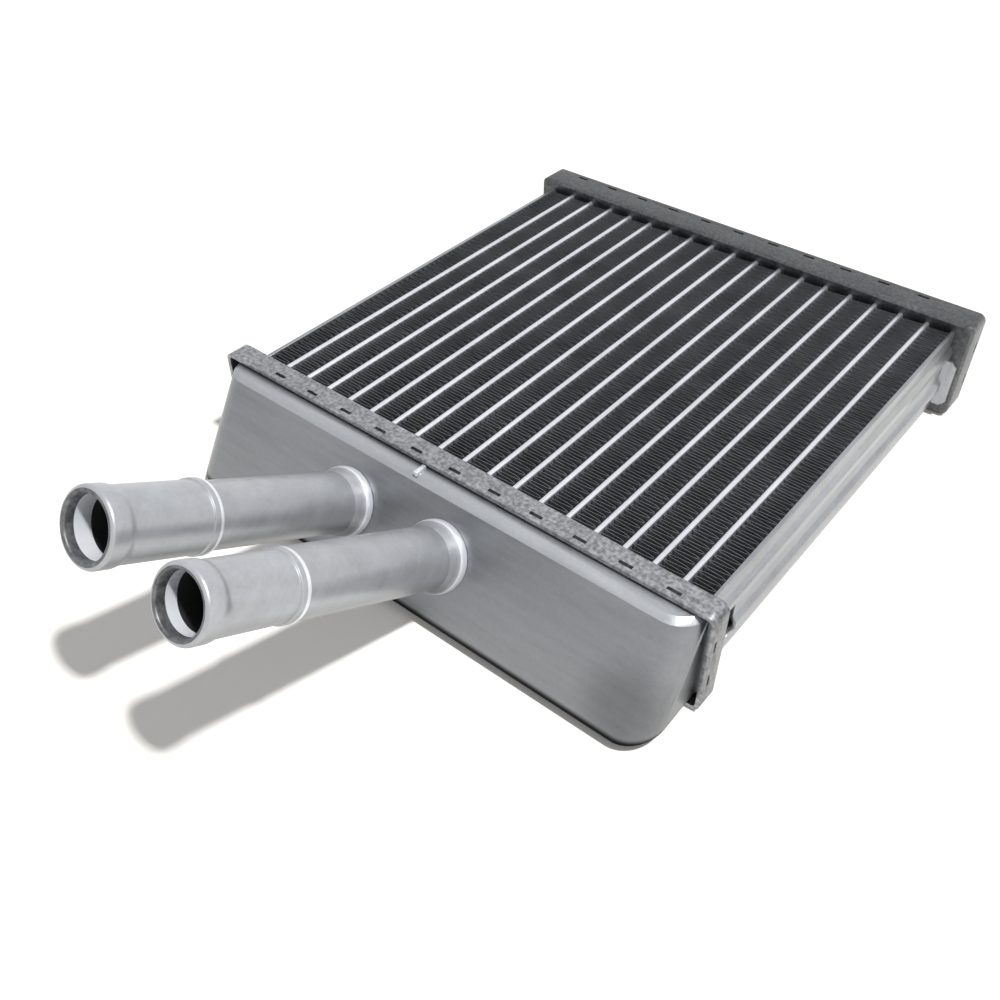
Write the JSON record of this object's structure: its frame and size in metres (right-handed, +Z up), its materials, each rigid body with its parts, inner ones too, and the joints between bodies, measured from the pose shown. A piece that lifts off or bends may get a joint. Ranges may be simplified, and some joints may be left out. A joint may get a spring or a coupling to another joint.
{
  "type": "heater core",
  "caption": "Brazed aluminium heater core: flat tubes and folded fins between two pressed tanks, with two hose pipes rising at a slant from the front tank.",
  "frame": {"origin": "on the ground under the middle of the whole part, at the level of the header plates' undersides", "axes": "+X across the tubes, +Y from the pipes' end to the rear tank, +Z up out of the core's upper face"},
  "size_m": [0.1954, 0.3131, 0.0785],
  "materials": {
    "tank_metal": "satin, as brazed",
    "header_metal": "satin, as brazed",
    "tube_metal": "bright, drawn",
    "fin_metal": "dull, fluxed",
    "side_metal": "satin, rolled",
    "ferrule_metal": "turned, bright",
    "pipe_metal": "drawn, lightly brushed"
  },
  "bodies": {
    "root": {"front_tank": "tank_metal", "front_header_plate": "header_metal", "tank_divider": "header_metal", "rear_tank": "tank_metal", "rear_header_plate": "header_metal", "side_plate_left": "side_metal", "side_plate_right": "side_metal", "inlet_ferrule": "ferrule_metal", "outlet_ferrule": "ferrule_metal", "inlet_pipe": "pipe_metal", "outlet_pipe": "pipe_metal", "tube_01": "tube_metal", "tube_02": "tube_metal", "tube_03": "tube_metal", "tube_04": "tube_metal", "tube_05": "tube_metal", "tube_06": "tube_metal", "tube_07": "tube_metal", "tube_08": "tube_metal", "tube_09": "tube_metal", "tube_10": "tube_metal", "tube_11": "tube_metal", "tube_12": "tube_metal", "tube_13": "tube_metal", "tube_14": "tube_metal", "tube_15": "tube_metal", "tube_16": "tube_metal", "tube_17": "tube_metal", "fin_01": "fin_metal", "fin_02": "fin_metal", "fin_03": "fin_metal", "fin_04": "fin_metal", "fin_05": "fin_metal", "fin_06": "fin_metal", "fin_07": "fin_metal", "fin_08": "fin_metal", "fin_09": "fin_metal", "fin_10": "fin_metal", "fin_11": "fin_metal", "fin_12": "fin_metal", "fin_13": "fin_metal", "fin_14": "fin_metal", "fin_15": "fin_metal", "fin_16": "fin_metal", "fin_17": "fin_metal", "fin_18": "fin_metal"}
  },
  "joints": []
}
